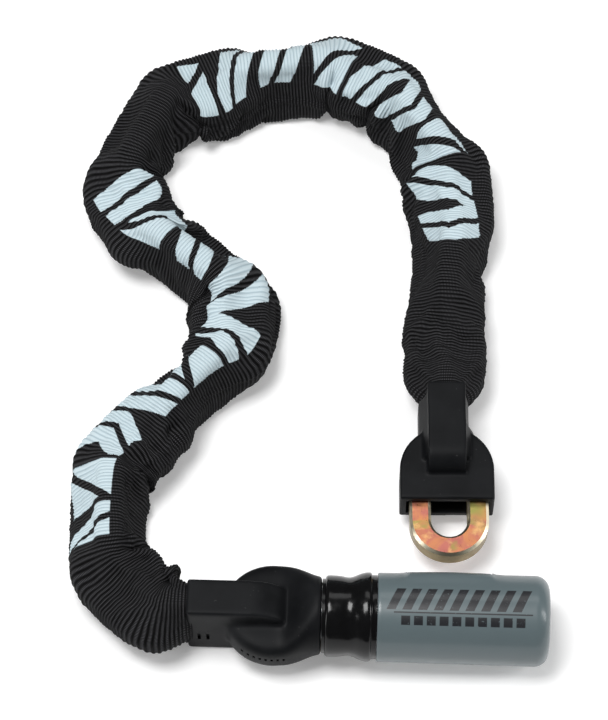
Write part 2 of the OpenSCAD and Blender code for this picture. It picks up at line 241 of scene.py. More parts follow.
def sleeve_material():
    """Black ribbed webbing. The UV map holds millimetres: U round the sleeve from its print's
    middle line, V along it. The inked attribute is 1 where the sleeve is printed and 0 elsewhere."""
    n = Nodes("sleeve_webbing")
    u, v, _ = n.split(n.new("ShaderNodeUVMap", uv_map="cloth_mm").outputs[0])
    flat = n.new("ShaderNodeCombineXYZ", {0: u, 1: v}).outputs[0]
    inked = n.new("ShaderNodeAttribute", attribute_name="inked").outputs["Fac"]
    wobble = n.math("MULTIPLY", n.math("SUBTRACT", n.noise(flat, 1.4, 2.0), 0.5), 0.9)
    along = n.math("ADD", v, wobble)
    across = n.math("ADD", u, n.math("MULTIPLY", wobble, 0.6))
    cell = n.math("FLOOR", n.math("DIVIDE", along, PRINT_CELL_MM))
    pick = n.new("ShaderNodeTexWhiteNoise", {"W": n.math("MULTIPLY", cell, 3.71)},
                 noise_dimensions="1D").outputs["Value"]
    shapes = printed_shapes(n, along, across, cell, pick)
    # The ink misses a few specks in the valleys
    rib = n.math("ABSOLUTE", n.math("SINE", n.math("MULTIPLY", v, math.pi / RIB_MM)))
    specks = n.math("GREATER_THAN", n.noise(n.scaled(flat, 1.0, 0.7, 1.0), 2.6, 1.0), 0.735)
    holds = n.math("SUBTRACT", 1.0, n.math("MULTIPLY", specks, n.ramp(rib, 0.85, 0.2)))
    ink = n.math("MULTIPLY", n.math("MULTIPLY", shapes, inked), holds)
    # The weave: fine threads with a painted highlight along the top of each rib, painted shade in
    # the valleys, and dusty patches
    thread = n.math("SINE", n.math("MULTIPLY", u, 2 * math.pi / THREAD_MM))
    thread_row = n.math("SINE", n.math("MULTIPLY", v, 2 * math.pi / (RIB_MM / 2)))
    weave = n.math("MULTIPLY", thread, n.math("ADD", 0.6, n.math("MULTIPLY", thread_row, 0.4)))
    blotch = n.noise(flat, 0.11, 4.0)
    # Painted highlight: bright thread dots along the top of each rib
    crest_highlight = n.math("MULTIPLY", n.ramp(thread, -0.6, 0.9), n.ramp(rib, 0.5, 1.0))
    # Painted shade: the cloth is darker in the valleys between ribs than on their tops
    cloth = n.mix(n.ramp(rib, 0.2, 0.95), (0.0005, 0.0005, 0.0006, 1), (0.004, 0.004, 0.0045, 1))
    cloth = n.mix(n.math("MULTIPLY", crest_highlight, 0.75), cloth, (0.105, 0.105, 0.112, 1))
    cloth = n.mix(n.ramp(blotch, 0.4, 0.75, 0.0, 0.3), cloth, (0.018, 0.018, 0.020, 1))
    # The printed ink carries painted shade and is darker in the valleys between ribs
    inked_cloth = n.mix(n.ramp(rib, 0.05, 0.75), (0.35, 0.45, 0.50, 1), (0.57, 0.67, 0.71, 1))
    colour = n.mix(ink, cloth, inked_cloth)
    rough = n.ramp(ink, 0.0, 1.0, 0.82, 0.55)
    fuzz = n.noise(flat, 5.5, 3.0)
    height = n.math("ADD", n.math("MULTIPLY", weave, n.ramp(ink, 0.0, 1.0, 0.8, 0.15)),
                    n.math("MULTIPLY", fuzz, 0.5))
    return n.principled(Base_Color=colour, Roughness=rough, Normal=n.bump(height, mm(0.12), 0.8),
                        Specular_IOR_Level=0.1)


def boot_material():
    """Matt moulded rubber: fine grain, uneven gloss and a few specks of dust."""
    n = Nodes("boot_rubber")
    co = object_coords(n)
    grain = n.noise(co, 2600.0, 2.0)
    cloud = n.noise(co, 60.0, 4.0)
    colour = n.mix(n.ramp(cloud, 0.35, 0.7), (0.0050, 0.0054, 0.0062, 1),
                   (0.0100, 0.0106, 0.0118, 1))
    dust = n.math("GREATER_THAN", n.noise(co, 900.0, 1.0), 0.78)
    colour = n.mix(n.math("MULTIPLY", dust, 0.25), colour, (0.12, 0.12, 0.12, 1))
    rough = n.ramp(cloud, 0.3, 0.75, 0.42, 0.58)
    return n.principled(Base_Color=colour, Roughness=rough, Normal=n.bump(grain, mm(0.06), 0.6),
                        Specular_IOR_Level=0.09)


def collar_material():
    """Glossy black vinyl with a faint ripple."""
    n = Nodes("collar_vinyl")
    co = object_coords(n)
    ripple = n.noise(co, 90.0, 2.0)
    colour = n.mix(n.noise(co, 240.0), (0.002, 0.002, 0.0022, 1), (0.005, 0.005, 0.0055, 1))
    rough = n.ramp(n.noise(co, 500.0, 3.0), 0.3, 0.7, 0.12, 0.22)
    return n.principled(Base_Color=colour, Roughness=rough, Normal=n.bump(ripple, mm(0.5), 0.35),
                        Specular_IOR_Level=0.22, Coat_Weight=0.08, Coat_Roughness=0.08)


def cover_material():
    """Glossy grey vinyl with a dark generic graphic: a row of leaning bars, a rule and dashes."""
    n = Nodes("cover_vinyl")
    co = object_coords(n)
    x, y, z = n.split(co)
    x_mm = n.math("MULTIPLY", n.math("SUBTRACT", x, SLOT_X), 1000.0)
    south = n.math("SUBTRACT", AXIS_Y, y)
    up = n.math("SUBTRACT", z, AXIS_Z)
    arc = n.math("MULTIPLY", n.math("ARCTAN2", up, south), COVER_R_MM)  # mm round from the front
    soft = 0.12
    bar_pitch, dash_pitch = 6.4, 5.2
    lean = n.math("SUBTRACT", x_mm, n.math("MULTIPLY", arc, 0.45))
    in_bar = n.math("FRACT", n.math("DIVIDE", lean, bar_pitch))
    in_dash = n.math("FRACT", n.math("DIVIDE", x_mm, dash_pitch))
    bars = n.both(n.within(in_bar, 0.18, 0.76, soft / bar_pitch), n.within(arc, 24.9, 34.6, soft),
                  n.within(lean, -37.8, 20.0, soft))
    rule = n.both(n.within(arc, 23.5, 24.1, soft), n.within(x_mm, -23.0, 33.5, soft))
    dash = n.both(n.within(in_dash, 0.16, 0.86, soft / dash_pitch), n.within(arc, 18.6, 22.4, soft),
                  n.within(x_mm, -21.0, 31.5, soft))
    worn = n.ramp(n.noise(co, 1400.0, 2.0), 0.26, 0.34)
    print_dark = n.math("MULTIPLY", n.either(bars, rule, dash), worn)
    base = n.mix(n.noise(co, 45.0, 3.0), (0.096, 0.127, 0.136, 1), (0.111, 0.145, 0.155, 1))
    fleck = n.math("GREATER_THAN", n.noise(co, 800.0, 1.0), 0.8)
    base = n.mix(n.math("MULTIPLY", fleck, 0.5), base, (0.05, 0.06, 0.065, 1))
    colour = n.mix(print_dark, base, (0.014, 0.015, 0.018, 1))
    rough = n.ramp(n.noise(co, 160.0, 4.0), 0.3, 0.7, 0.3, 0.4)
    return n.principled(Base_Color=colour, Roughness=rough,
                        Normal=n.bump(n.noise(co, 70.0, 2.0), mm(0.4), 0.12),
                        Coat_Weight=0.2, Coat_Roughness=0.12, Specular_IOR_Level=0.4)


def zinc_material():
    """Yellow zinc passivate: orange with pink and green patches, finely worn."""
    n = Nodes("yellow_zinc")
    co = object_coords(n)
    hue = n.noise(co, 95.0, 4.0, 0.6, 0.8)
    patch = n.noise(co, 55.0, 3.0, 0.5, 1.5)
    colour = n.mix(n.ramp(hue, 0.35, 0.62), (0.60, 0.265, 0.10, 1), (0.46, 0.155, 0.125, 1))
    colour = n.mix(n.ramp(patch, 0.57, 0.68, 0.0, 0.85), colour, (0.27, 0.30, 0.08, 1))
    colour = n.mix(n.ramp(n.noise(co, 170.0, 3.0), 0.58, 0.75), colour, (0.70, 0.42, 0.18, 1))
    # Painted shade darkens the bar's upright sides and a painted highlight brightens its bevels,
    # both picked by the angle of the face
    level = n.math("ABSOLUTE", n.split(n.new("ShaderNodeNewGeometry").outputs["True Normal"])[2])
    colour = n.mix(n.ramp(level, 0.5, 0.15, 0.0, 0.9), colour, (0.20, 0.17, 0.075, 1))
    # Painted highlight on the bevels, the faces that lean half up
    bevel_highlight = n.both(n.ramp(level, 0.45, 0.6), n.ramp(level, 0.95, 0.8))
    colour = n.mix(bevel_highlight, colour, (1.0, 0.90, 0.68, 1))
    wear = n.noise(co, 420.0, 4.0, 0.7)
    rough = n.ramp(wear, 0.3, 0.75, 0.26, 0.48)
    return n.principled(Base_Color=colour, Metallic=1.0, Roughness=rough,
                        Normal=n.bump(wear, mm(0.03), 0.4))


def metal_material(name, dark, light, smoothest, roughest):
    """Machined metal, streaked along X between two colours and two roughnesses."""
    n = Nodes(name)
    co = object_coords(n)
    streak = n.noise(n.scaled(co, 1.0, 12.0, 12.0), 220.0, 4.0, 0.7)
    colour = n.mix(n.ramp(streak, 0.3, 0.7), dark, light)
    rough = n.ramp(streak, 0.25, 0.75, smoothest, roughest)
    return n.principled(Base_Color=colour, Metallic=1.0, Roughness=rough,
                        Normal=n.bump(streak, mm(0.05), 0.4))


def dust_material():
    """Matt black plastic for the dust cover."""
    n = Nodes("dust_plastic")
    co = object_coords(n)
    colour = n.mix(n.noise(co, 300.0), (0.014, 0.014, 0.015, 1), (0.026, 0.026, 0.028, 1))
    return n.principled(Base_Color=colour, Roughness=0.42,
                        Normal=n.bump(n.noise(co, 1800.0, 2.0), mm(0.05), 0.5))


def floor_material():
    """A pale, slightly glowing floor that renders as near white."""
    n = Nodes("pale_floor")
    co = object_coords(n)
    tone = n.mix(n.noise(co, 3.0, 2.0), (0.88, 0.88, 0.88, 1), (0.91, 0.91, 0.91, 1))
    return n.principled(Base_Color=tone, Roughness=0.8, Specular_IOR_Level=0.1,
                        Emission_Color=(1, 1, 1, 1), Emission_Strength=0.22)


# ---- mesh helpers ----

def new_object(name, verts, faces, material, smooth=True):
    """A mesh object with one material."""
    mesh = bpy.data.meshes.new(name)
    mesh.from_pydata([tuple(v) for v in verts], [], [tuple(f) for f in faces])
    mesh.validate()
    piece = bpy.data.objects.new(name, mesh)
    bpy.context.collection.objects.link(piece)
    mesh.materials.append(material)
    mesh.polygons.foreach_set("use_smooth", [smooth] * len(mesh.polygons))
    return piece


def apply_modifiers(piece):
    """Puts the result of the piece's modifiers in place of its mesh."""
    graph = bpy.context.evaluated_depsgraph_get()
    baked = bpy.data.meshes.new_from_object(piece.evaluated_get(graph))
    old = piece.data
    piece.modifiers.clear()
    piece.data = baked
    bpy.data.meshes.remove(old)


def grid_faces(rows, columns, wrap):
    """Quads over rows x columns points, wrapping round each row if asked."""
    last = columns if wrap else columns - 1
    return [(r * columns + c, r * columns + (c + 1) % columns,
             (r + 1) * columns + (c + 1) % columns, (r + 1) * columns + c)
            for r in range(rows - 1) for c in range(last)]


# ---- the sleeve ----
# A coarse tube of cloth is laid round the chain and simulated: it is cut straight and a little
# long, so it buckles on the inside of each bend. A fine ribbed surface is then laid over it.

RIB_MM = 1.62
RIB_HIGH_MM = 0.72
RIB_SINK_MM = 0.3  # how far the valleys lie below the simulated cloth
RINGS_PER_RIB = 5
STEP_MM = RIB_MM / RINGS_PER_RIB
AROUND = 96
CLOTH_ROUND_MM = 109.0
GATHER = 1.12  # cloth length to chain length
CORNER_MM = 4.5  # how far the cloth rounds off the chain's corners
SHIFT_BLUR_MM = 6.0  # how softly its sideways shift goes over from link to link
TUCK_MM = 3.0  # how far the cloth's ends go into the boots
NECK_HALF_MM = (7.2, 16.6)  # the cloth's half width and half height in there
LINK_R_MM = 15.25
BAR_HALF_MM = 4.5
CHAMFER_MM = 1.5
UPRIGHT_REACH_MM = 10.75  # from a joint to the next upright link's arc centre
BOOT_LINK_MM = 38.0  # from the first and last joint to about the far arc centre of the boot's link
# How far the cloth lies to the left of each link's middle
SHIFT_MM = [0, 2, 2, 6, -7, -11, 5, 7, -7, 2.5, 2, -0.5, -5, -0.5, -0.5]
# The print's middle line, as (distance along the chain, angle from the top towards the left)
PRINT_TURN = [(0, 30), (45, 50), (95, 38), (125, 18), (180, 0), (262, 0), (318, 6), (420, -4),
              (600, 0)]
PRINTED_MM = [(49, 265), (321, 510.5)]  # the printed stretches of the sleeve

# Folds laid into the cloth before it is simulated, mostly on the inside of the bends:
# (distance along, angle of the middle, depth, half width, degrees it reaches, skew)
FOLDS = [
    (13, -80, 6, 3.2, 60, 3), (25, -95, 5, 3.0, 60, -4), (38, -75, 6, 3.4, 65, 5),
    (84, -90, 7, 3.6, 70, 4), (95, -65, 5, 3.2, 65, -5), (112, -85, 5, 3.4, 55, 3),
    (148, 85, 4, 3.4, 50, 3), (162, 88, 6, 3.2, 60, -4), (177, 80, 5, 3.0, 55, 4),
    (190, 92, 6, 3.2, 60, 3), (204, 84, 5, 3.2, 50, -4), (236, -80, 5, 3.4, 60, 4),
    (250, -92, 4, 3.0, 55, -3), (264, -84, 7, 3.4, 75, 5), (277, -74, 5, 3.0, 70, -4),
    (298, -88, 7, 3.4, 80, 5), (312, -78, 7, 3.6, 80, -5), (326, -90, 5, 3.2, 60, 3),
    (368, 70, 3, 4.0, 60, 4), (389, -86, 6, 3.4, 60, 4), (403, -92, 4, 3.0, 50, -3),
    (416, -84, 6, 3.4, 60, 4), (431, -78, 4, 3.2, 60, -4), (465, -86, 6, 3.4, 60, 4),
    (480, -60, 4, 3.4, 60, -5), (512, 75, 3, 3.8, 60, 4), (544, 50, 4, 3.4, 60, 5),
    (556, -60, 4, 3.4, 60, -4)]
SEAM_MM = -27.0  # the sewn seam, round the cloth from the print's middle line

SIM_SCALE = 10  # the cloth solver works best on things near a metre
TO_SIM = SIM_SCALE / 1000  # from millimetres to the solver's scale
SIM_STEP_MM = 2.5
SIM_AROUND = 48
SIM_FRAMES = 45
BEND_HALF_MM = 5.5  # half the length given to the way worked out at each joint, which nothing uses further
WAY_RINGS = 15  # how many rings to each side give the cloth's way at a joint
SIM_GAP = 0.006  # how near the cloth may come to the links, in the solver's scale
LINE_STEP_MM = 0.5
NECK_REACH_MM = 11.0  # how far past the tuck the cloth goes over to its round shape
SQUARENESS = 0.4  # 1 makes a round section, and less squares it off


def smooth_along(values, sigma, step):
    """A Gaussian blur along the first axis, which leaves the two ends in place."""
    reach = int(3 * sigma / step)
    offsets = np.arange(-reach, reach + 1) * step
    kernel = np.exp(-offsets ** 2 / (2 * sigma ** 2))
    kernel /= kernel.sum()
    columns = []
    for column in np.atleast_2d(values.T):
        before = 2 * column[0] - column[reach:0:-1]
        after = 2 * column[-1] - column[-2:-reach - 2:-1]
        columns.append(np.convolve(np.concatenate([before, column, after]), kernel, "valid"))
    return np.array(columns).T if values.ndim > 1 else columns[0]


def end_way():
    """The way the last body points, from its joint to the end link."""
    low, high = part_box("end_link")
    way = np.array([(low.x + high.x) / 2, low.y]) - PIVOTS[-1][:2]
    return way / np.linalg.norm(way)


def sleeve_route():
    """The chain's corner points in millimetres, from inside one boot to inside the other."""
    lock_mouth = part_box("sleeve_lock_end")[1].x * 1000 + TUCK_MM
    pivots = PIVOTS[:, :2] * 1000
    end_reach = (PIVOTS[-1][1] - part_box("sleeve_link_end")[0].y) * 1000 + TUCK_MM
    return np.vstack([[lock_mouth, AXIS_Y * 1000], pivots, pivots[-1] + end_way() * end_reach])


def sleeve_line():
    """The cloth's middle line in small steps: distance, place in links, points, left."""
    corners = sleeve_route()
    reached = np.append(0, np.cumsum(np.linalg.norm(np.diff(corners, axis=0), axis=1)))
    distance = np.arange(0, reached[-1], LINE_STEP_MM)
    place = np.interp(distance, reached, np.arange(len(corners)))
    points = np.stack([np.interp(distance, reached, corners[:, k]) for k in (0, 1)], axis=1)
    points = smooth_along(points, CORNER_MM, LINE_STEP_MM)
    way = np.gradient(points, axis=0)
    way /= np.linalg.norm(way, axis=1)[:, None]
    left = np.stack([-way[:, 1], way[:, 0]], axis=1)
    middles = np.concatenate([[0.9], np.arange(len(SHIFT_MM)) + 1.5, [len(CHAIN) + 0.1]])
    shift = np.interp(place, middles, [0] + SHIFT_MM + [0])
    shift = smooth_along(shift, SHIFT_BLUR_MM, LINE_STEP_MM)
    return distance, place, points + left * shift[:, None], left


def chain_slabs():
    """Each link as a slab: its two arc centres and the way its thickness runs."""
    slabs = []
    up = np.array([0, 0, 1.0])
    pivots = PIVOTS * 1000
    for i in range(len(pivots) - 1):
        a, b = pivots[i], pivots[i + 1]
        way = (b - a) / np.linalg.norm(b - a)
        if i % 2 == 0:
            slabs.append((a, b, up))
        else:
            slabs.append((a + way * UPRIGHT_REACH_MM, b - way * UPRIGHT_REACH_MM, np.cross(up, way)))
    for start, way in ((pivots[0], np.array([1.0, 0, 0])), (pivots[-1], np.append(end_way(), 0))):
        slabs.append((start + way * UPRIGHT_REACH_MM, start + way * BOOT_LINK_MM, np.cross(up, way)))
    return slabs


def link_distance(points):
    """How far each point is outside the nearest chain link, in millimetres."""
    nearest = np.full(points.shape[:-1], 1e9)
    for a, b, thick in chain_slabs():
        span = b - a
        off = points - a
        t = np.clip(off @ span / (span @ span), 0, 1)
        rest = off - t[..., None] * span
        through = rest @ thick
        plan = np.sqrt(np.maximum((rest ** 2).sum(-1) - through ** 2, 0))
        q = np.stack([plan - LINK_R_MM + CHAMFER_MM, np.abs(through) - BAR_HALF_MM + CHAMFER_MM])
        outside = np.sqrt((np.maximum(q, 0) ** 2).sum(0))
        nearest = np.minimum(nearest, outside + np.minimum(q.max(0), 0) - CHAMFER_MM)
    return nearest


def push_clear(points, clearance, rounds):
    """Moves a tube's points outward from its middle until the chain is inside it."""
    middle = points.mean(axis=1, keepdims=True)
    middle[..., 2] = CHAIN_Z * 1000
    for _ in range(rounds):
        short = np.maximum(clearance - link_distance(points), 0)
        spread = short
        for axis in (0, 1, 0, 1):
            beside = np.roll(spread, 1, axis) + np.roll(spread, -1, axis)
            spread = np.maximum(spread, 0.5 * spread + 0.25 * beside)
        way = points - middle
        way /= np.linalg.norm(way, axis=2)[..., None]
        points = points + way * spread[..., None]
    points[..., 2] = np.maximum(points[..., 2], 0.3)
    return points


def cloth_start():
    """The tube as it is laid round the chain, and as it was cut, ring by ring."""
    distance, _, line, left = sleeve_line()
    rings = int(distance[-1] * GATHER / SIM_STEP_MM) + 1
    at = np.linspace(0, distance[-1], rings)
    line = np.stack([np.interp(at, distance, line[:, k]) for k in (0, 1)], axis=1)
    left = np.stack([np.interp(at, distance, left[:, k]) for k in (0, 1)], axis=1)
    angle = np.linspace(0, 2 * np.pi, SIM_AROUND, endpoint=False)
    radius = CLOTH_ROUND_MM / (2 * np.pi)
    rng = np.random.default_rng(11)
    uneven = radius + rng.uniform(-0.5, 0.5, (rings, SIM_AROUND))
    uneven = uneven - laid_folds(at[:, None], angle[None, :])
    # Inside the boots the cloth takes the necks' upright, narrow shape
    in_neck = 1 - np.clip((np.minimum(at, at[-1] - at) - TUCK_MM) / NECK_REACH_MM, 0, 1)[:, None]
    side, high = np.sin(angle), np.cos(angle)
    neck_side = NECK_HALF_MM[0] * np.sign(side) * np.abs(side) ** SQUARENESS
    neck_high = NECK_HALF_MM[1] * np.sign(high) * np.abs(high) ** SQUARENESS
    across = uneven * side * (1 - in_neck) + neck_side * in_neck
    upward = uneven * high * (1 - in_neck) + neck_high * in_neck
    points = np.empty((rings, SIM_AROUND, 3))
    points[..., :2] = line[:, None, :] + left[:, None, :] * across[..., None]
    points[..., 2] = CHAIN_Z * 1000 + upward
    cut = np.empty_like(points)
    cut[..., 0] = np.arange(rings)[:, None] * SIM_STEP_MM
    cut[..., 1] = radius * np.sin(angle)
    cut[..., 2] = radius * np.cos(angle)
    return push_clear(points, clearance=1.2, rounds=12), cut, at


def laid_folds(at, angle):
    """How far in each fold pushes the cloth at the start, with a roll to each side of it."""
    depth = np.zeros(np.broadcast(at, angle).shape)
    for place, middle, deep, width, reach, skew in FOLDS:
        off = (np.degrees(angle) - middle + 180) % 360 - 180
        line = (at - TUCK_MM - place - skew * np.sin(np.radians(off))) / width
        valley = np.exp(-line ** 2) - 0.35 * (np.exp(-(line - 2) ** 2) + np.exp(-(line + 2) ** 2))
        depth += deep * np.exp(-(off / reach) ** 4) * valley
    return depth


def add_collider(name, mesh, thickness):
    """A still body that the cloth can't pass through."""
    piece = bpy.data.objects.new(name, mesh)
    bpy.context.collection.objects.link(piece)
    piece.modifiers.new("collision", "COLLISION")
    piece.collision.thickness_outer = thickness
    piece.collision.cloth_friction = 12
    return piece


def laid_cloth(start, cut, at):
    """The tube as a cloth object for the solver, held at both ends."""
    mesh = bpy.data.meshes.new("cloth_trial")
    mesh.from_pydata((start.reshape(-1, 3) * TO_SIM).tolist(), [],
                     grid_faces(len(start), SIM_AROUND, True))
    trial = bpy.data.objects.new("cloth_trial", mesh)
    bpy.context.collection.objects.link(trial)
    trial.shape_key_add(name="laid")
    as_cut = trial.shape_key_add(name="as_cut")
    as_cut.data.foreach_set("co", (cut * TO_SIM).reshape(-1))
    held = trial.vertex_groups.new(name="held")
    tucked = np.nonzero(np.minimum(at, at[-1] - at) < TUCK_MM + 0.5)[0]
    held.add([int(ring) * SIM_AROUND + k for ring in tucked for k in range(SIM_AROUND)], 1, "ADD")
    cloth = trial.modifiers.new("cloth", "CLOTH")
    rules = cloth.settings
    rules.rest_shape_key = as_cut
    rules.quality = 6
    rules.mass = 0.25
    rules.tension_stiffness = 60
    rules.compression_stiffness = 60
    rules.shear_stiffness = 2
    rules.bending_stiffness = 0.05
    rules.tension_damping = 3
    rules.compression_damping = 3
    rules.air_damping = 2
    rules.vertex_group_mass = "held"
    cloth.collision_settings.distance_min = SIM_GAP
    cloth.collision_settings.collision_quality = 2
    return trial


def colliders():
    """The links inside the sleeve and the ground, for the cloth to rest on."""
    pieces = []
    for node in frame["nodes"]:
        if node.startswith("link_") or node in ("lock_neck_link", "end_neck_link"):
            copy = frame["nodes"][node].data.copy()
            copy.transform(Matrix.Scale(SIM_SCALE, 4) @ frame["nodes"][node].matrix_world)
            pieces.append(add_collider("trial_" + node, copy, SIM_GAP))
    half = 3
    ground = bpy.data.meshes.new("trial_ground")
    ground.from_pydata([(-half, -half, 0), (half, -half, 0), (half, half, 0), (-half, half, 0)], [],
                       [(0, 1, 2, 3)])
    pieces.append(add_collider("trial_ground", ground, 0.004))
    return pieces


def simulated_cloth():
    """Runs the cloth over the chain and the floor, and gives back its rings of points."""
    start, cut, at = cloth_start()
    trial = laid_cloth(start, cut, at)
    extras = colliders()
    scene = bpy.context.scene
    for number in range(1, SIM_FRAMES + 1):
        scene.frame_set(number)
    done = trial.evaluated_get(bpy.context.evaluated_depsgraph_get()).to_mesh()
    result = np.empty(start.size)
    done.vertices.foreach_get("co", result)
    for piece in [trial] + extras:
        data = piece.data
        bpy.data.objects.remove(piece)
        bpy.data.meshes.remove(data)
    scene.frame_set(1)
    return result.reshape(start.shape) / TO_SIM, at


def spline(values, places, wrap):
    """Values at fractional places along the first axis, on a smooth cubic curve."""
    base = np.floor(places).astype(int)
    t = (places - base).reshape(-1, *([1] * (values.ndim - 1)))
    weights = [(1 - t) ** 3, 3 * t ** 3 - 6 * t ** 2 + 4,
               -3 * t ** 3 + 3 * t ** 2 + 3 * t + 1, t ** 3]
    total = 0
    for k, weight in enumerate(weights):
        index = base + k - 1
        index = index % len(values) if wrap else np.clip(index, 0, len(values) - 1)
        total = total + weight / 6 * values[index]
    return total


def print_turn(chain_at):
    """The angle of the print's middle line at each distance along the chain."""
    return np.radians(np.interp(chain_at - TUCK_MM, *np.array(PRINT_TURN, float).T))


def sleeve_surface():
    """The fine ribbed surface, ring by ring: V along the cloth, distance along the chain, place
    in links, and its points."""
    coarse, at = simulated_cloth()
    cloth_length = (len(coarse) - 1) * SIM_STEP_MM
    v = np.arange(0, cloth_length, STEP_MM)
    fine = spline(coarse, v / SIM_STEP_MM, False)
    columns = np.arange(AROUND) * SIM_AROUND / AROUND
    fine = spline(fine.transpose(1, 0, 2), columns, True).transpose(1, 0, 2)
    fine = push_clear(fine, clearance=0.75, rounds=8)
    along = np.gradient(fine, axis=0)
    around = (np.roll(fine, -1, axis=1) - np.roll(fine, 1, axis=1)) / 2
    normal = np.cross(along, around)
    normal /= np.maximum(np.linalg.norm(normal, axis=2), 1e-9)[..., None]
    outward = ((fine - fine.mean(axis=1, keepdims=True)) * normal).sum(-1).mean()
    normal *= np.sign(outward)
    phase = v / RIB_MM
    rng = np.random.default_rng(4)
    thick = rng.uniform(0.7, 1.25, int(phase[-1]) + 3)[np.floor(phase + 0.5).astype(int)]
    rib = RIB_HIGH_MM * thick * (np.abs(np.cos(np.pi * phase)) ** 0.75) - RIB_SINK_MM
    distance, place, _, _ = sleeve_line()
    chain_at = np.interp(v / SIM_STEP_MM, np.arange(len(at)), at)
    angle = np.arange(AROUND) * 2 * np.pi / AROUND
    off_print = (angle[None, :] - print_turn(chain_at)[:, None]) * CLOTH_ROUND_MM / (2 * np.pi)
    off_seam = off_print - SEAM_MM
    off_seam = (off_seam + CLOTH_ROUND_MM / 2) % CLOTH_ROUND_MM - CLOTH_ROUND_MM / 2
    # The seam is a low ridge with a groove to each side
    seam = 0.55 * np.exp(-(off_seam / 1.1) ** 2)
    seam = seam - 0.3 * np.exp(-((np.abs(off_seam) - 2.4) / 1.0) ** 2)
    points = fine + normal * (rib[:, None] + seam)[..., None]
    points[..., 2] = np.maximum(points[..., 2], 0.1)
    return v, chain_at, np.interp(chain_at, distance, place), points


SLEEVE_NODES = [["sleeve_lock_end", "sleeve_01"]]
SLEEVE_NODES += [["sleeve_%02d" % (k + 1)] for k in range(1, 15)]
SLEEVE_NODES += [["sleeve_link_end"]]


def rib_valley(v, place, wanted):
    """The ring in the valley between two ribs that is nearest to a place in links."""
    rib = round(v[int(np.searchsorted(place, wanted))] / RIB_MM - 0.5)
    return int(round((rib + 0.5) * RINGS_PER_RIB))


def add_sleeve(material):
    """The sleeve in sixteen pieces, cut in valleys between ribs."""
    v, chain_at, place, points = sleeve_surface()
    turn = print_turn(chain_at)
    inked = np.zeros(len(v))
    for start, end in PRINTED_MM:
        inked[(chain_at - TUCK_MM > start) & (chain_at - TUCK_MM < end)] = 1
    cuts = [0] + [rib_valley(v, place, k + 1.5) for k in range(len(CHAIN) - 1)] + [len(v) - 1]
    for k in range(len(CHAIN)):
        rings = slice(cuts[k], cuts[k + 1] + 1)
        rows = cuts[k + 1] - cuts[k] + 1
        piece = new_object(f"sleeve_cloth_{k + 1:02d}", points[rings].reshape(-1, 3) / 1000,
                           grid_faces(rows, AROUND, True), material)
        lay_uv(piece.data, v[rings], turn[rings])
        ink = piece.data.attributes.new("inked", "FLOAT", "POINT")
        ink.data.foreach_set("value", np.repeat(inked[rings], AROUND))
        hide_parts(*SLEEVE_NODES[k])
        ring = int(np.searchsorted(place, k + 1))
        after = points[min(ring + WAY_RINGS, len(v) - 1)].mean(0)
        way = after - points[ring - WAY_RINGS].mean(0)
        way[2] = 0
        way *= mm(BEND_HALF_MM) / np.linalg.norm(way)
        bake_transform(piece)


def lay_uv(mesh, v, turn):
    """A UV map in millimetres: U round the cloth from the print's middle line, V along it."""
    faces = np.arange(len(mesh.polygons))
    column, row = faces % AROUND, faces // AROUND
    step = 2 * np.pi / AROUND
    middle = (column + 0.5) * step - turn[row]
    middle = (middle + np.pi) % (2 * np.pi) - np.pi
    corners = np.zeros((len(faces), 4, 2))
    turned = middle[:, None] + np.array([-0.5, 0.5, 0.5, -0.5]) * step
    corners[..., 0] = CLOTH_ROUND_MM / (2 * np.pi) * turned
    corners[..., 1] = v[row][:, None] + np.array([0, 0, 1, 1]) * STEP_MM
    mesh.uv_layers.new(name="cloth_mm").data.foreach_set("uv", corners.reshape(-1))


# ---- barrel, collar and boots ----

def lathe(name, outline, material, shape=None, around=160):
    """A closed skin turned about the barrel's axis. outline is (x_mm from the slot, radius_mm).
    shape(x, angle) gives an extra radius in mm, with angle 0 towards +Y and 90 degrees up."""
    angle = np.linspace(0, 2 * np.pi, around, endpoint=False)
    verts = []
    for x, r in outline:
        extra = shape(x, angle) if shape else 0
        rr = mm(1) * (r + extra)
        along = np.full(around, SLOT_X + mm(x))
        ring = [along, AXIS_Y + rr * np.cos(angle), AXIS_Z + rr * np.sin(angle)]
        verts.append(np.stack(ring, 1))
    rows = len(outline)
    faces = grid_faces(rows, around, True)
    faces += [((rows - 1) * around + c, (rows - 1) * around + (c + 1) % around, (c + 1) % around, c)
              for c in range(around)]
    return new_object(name, np.vstack(verts), faces, material)


def cut_with(piece, tool):
    """Takes the tool's shape out of the piece, for good."""
    cut = piece.modifiers.new("cut", "BOOLEAN")
    cut.operation = "DIFFERENCE"
    cut.object = tool
    cut.solver = "EXACT"
    apply_modifiers(piece)
    bpy.data.objects.remove(tool)


def cutter(verts, faces):
    """A closed solid with no material, for cutting with."""
    mesh = bpy.data.meshes.new("cutter")
    mesh.from_pydata(verts, [], faces)
    piece = bpy.data.objects.new("cutter", mesh)
    bpy.context.collection.objects.link(piece)
    return piece


def block(low, high):
    """A plain box between two corners, for cutting with."""
    sides = list(zip(low, high))
    corners = [(x, y, z) for x in sides[0] for y in sides[1] for z in sides[2]]
    faces = [(0, 1, 3, 2), (4, 6, 7, 5), (0, 4, 5, 1), (2, 3, 7, 6), (0, 2, 6, 4), (1, 5, 7, 3)]
    return cutter(corners, faces)


def soft_step(value, start, end):
    """0 before start, 1 after end, and a smooth rise between them."""
    t = np.clip((value - start) / (end - start), 0, 1)
    return t * t * (3 - 2 * t)


